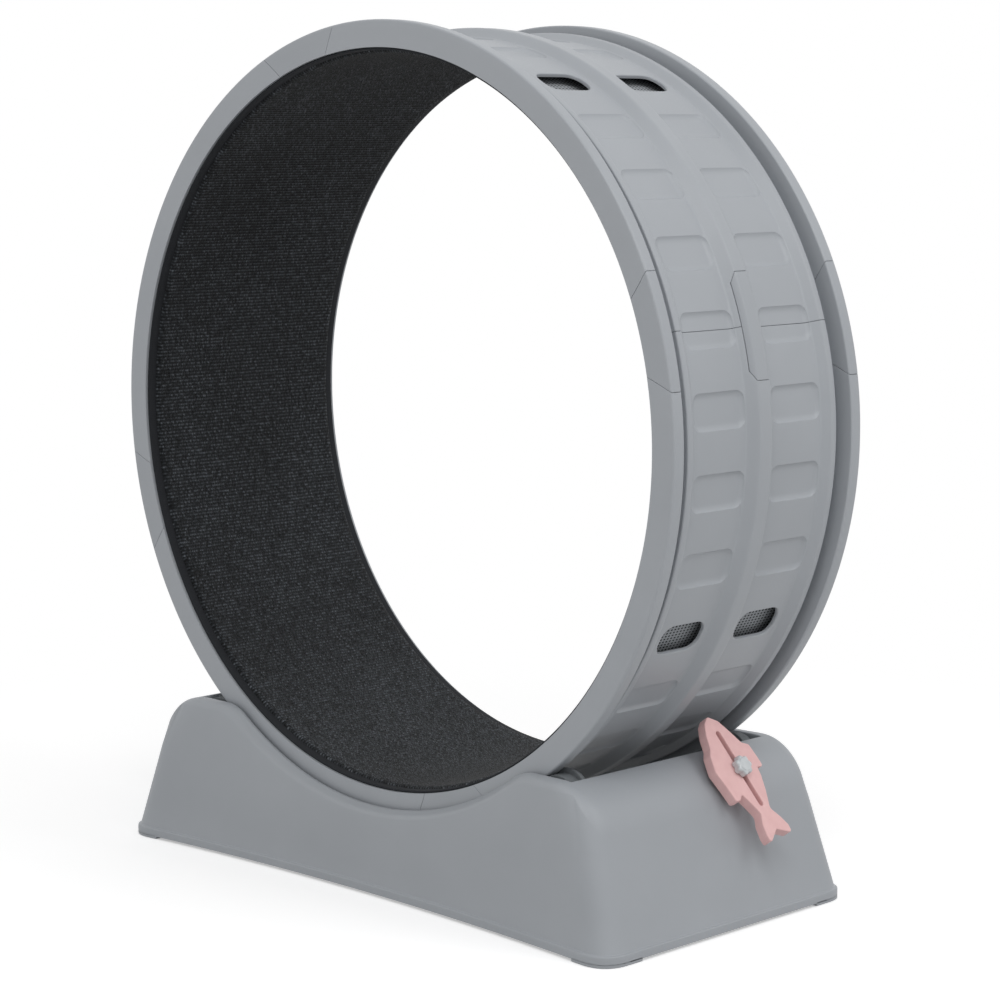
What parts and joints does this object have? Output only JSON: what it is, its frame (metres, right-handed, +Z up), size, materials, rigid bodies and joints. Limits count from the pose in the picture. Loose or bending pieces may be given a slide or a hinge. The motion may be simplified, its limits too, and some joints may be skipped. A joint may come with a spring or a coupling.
{
  "type": "cat exercise wheel",
  "caption": "Upright cat exercise wheel: a corrugated drum lined with a pile mat turns on rollers in a moulded base with a fish-shaped sliding brake.",
  "frame": {"origin": "centre of the footprint at floor level", "axes": "+X along the base towards the brake end, +Y along the wheel axis away from the viewer's side, +Z up"},
  "size_m": [0.9, 0.4068, 0.987],
  "materials": {
    "shell": "satin",
    "drum": "satin",
    "mat": "loop pile",
    "binding": "matte",
    "rubber": "matte",
    "roller_core": "satin",
    "roller_tread": "matte",
    "steel": "satin",
    "pink": "satin",
    "knob": "semi-gloss"
  },
  "bodies": {
    "base": {"base_shell": "shell", "foot_pad_1": "rubber", "foot_pad_2": "rubber", "foot_pad_3": "rubber", "foot_pad_4": "rubber", "axle_left": "steel", "axle_right": "steel", "axle_clips_left": "steel", "axle_clips_right": "steel", "brake_nut": "steel"},
    "wheel": {"drum_segment_1": "drum", "drum_segment_2": "drum", "drum_segment_3": "drum", "drum_segment_4": "drum", "front_connector_1": "drum", "front_connector_2": "drum", "front_connector_3": "drum", "front_connector_4": "drum", "centre_connector_1": "drum", "centre_connector_2": "drum", "centre_connector_3": "drum", "centre_connector_4": "drum", "rear_connector_1": "drum", "rear_connector_2": "drum", "rear_connector_3": "drum", "rear_connector_4": "drum", "connector_screws": "steel", "running_mat": "mat", "front_mat_binding": "binding", "rear_mat_binding": "binding"},
    "roller_1": {"roller_hub_1": "roller_core", "roller_tyre_1": "roller_tread", "roller_bearings_1": "steel"},
    "roller_2": {"roller_hub_2": "roller_core", "roller_tyre_2": "roller_tread", "roller_bearings_2": "steel"},
    "roller_3": {"roller_hub_3": "roller_core", "roller_tyre_3": "roller_tread", "roller_bearings_3": "steel"},
    "roller_4": {"roller_hub_4": "roller_core", "roller_tyre_4": "roller_tread", "roller_bearings_4": "steel"},
    "brake_pivot": {"brake_spacer": "roller_core"},
    "brake_plate": {"brake_fish": "pink"},
    "brake_knob": {"brake_washer": "steel", "brake_stud": "steel", "star_knob": "knob"}
  },
  "joints": [
    {"name": "wheel_spin", "type": "hinge", "parent": "base", "child": "wheel", "pos_m": [0, 0, 0.537], "axis": [0, 1, 0], "continuous": true},
    {"name": "roller_1_spin", "type": "hinge", "parent": "base", "child": "roller_1", "pos_m": [0.28497, 0, 0.15286], "axis": [0, 1, 0], "continuous": true},
    {"name": "roller_2_spin", "type": "hinge", "parent": "base", "child": "roller_2", "pos_m": [0.28497, 0, 0.15286], "axis": [0, 1, 0], "continuous": true},
    {"name": "roller_3_spin", "type": "hinge", "parent": "base", "child": "roller_3", "pos_m": [-0.28497, 0, 0.15286], "axis": [0, 1, 0], "continuous": true},
    {"name": "roller_4_spin", "type": "hinge", "parent": "base", "child": "roller_4", "pos_m": [-0.28497, 0, 0.15286], "axis": [0, 1, 0], "continuous": true},
    {"name": "brake_swivel", "type": "hinge", "parent": "base", "child": "brake_pivot", "pos_m": [0.35192, 0.052, 0.15773], "axis": [0.8192, 0, 0.5736], "range_deg": [-20, 20]},
    {"name": "brake_slide", "type": "slide", "parent": "brake_pivot", "child": "brake_plate", "axis": [-0.566, -0.1616, 0.8084], "range_m": [-0.043, 0.02]},
    {"name": "knob_turn", "type": "hinge", "parent": "base", "child": "brake_knob", "pos_m": [0.35192, 0.052, 0.15773], "axis": [0.8192, 0, 0.5736], "range_deg": [0, 180]}
  ],
  "couplings": [
    {"joint": "roller_1_spin", "follows": "wheel_spin", "ratio": -16.071},
    {"joint": "roller_2_spin", "follows": "wheel_spin", "ratio": -16.071},
    {"joint": "roller_3_spin", "follows": "wheel_spin", "ratio": -16.071},
    {"joint": "roller_4_spin", "follows": "wheel_spin", "ratio": -16.071}
  ]
}
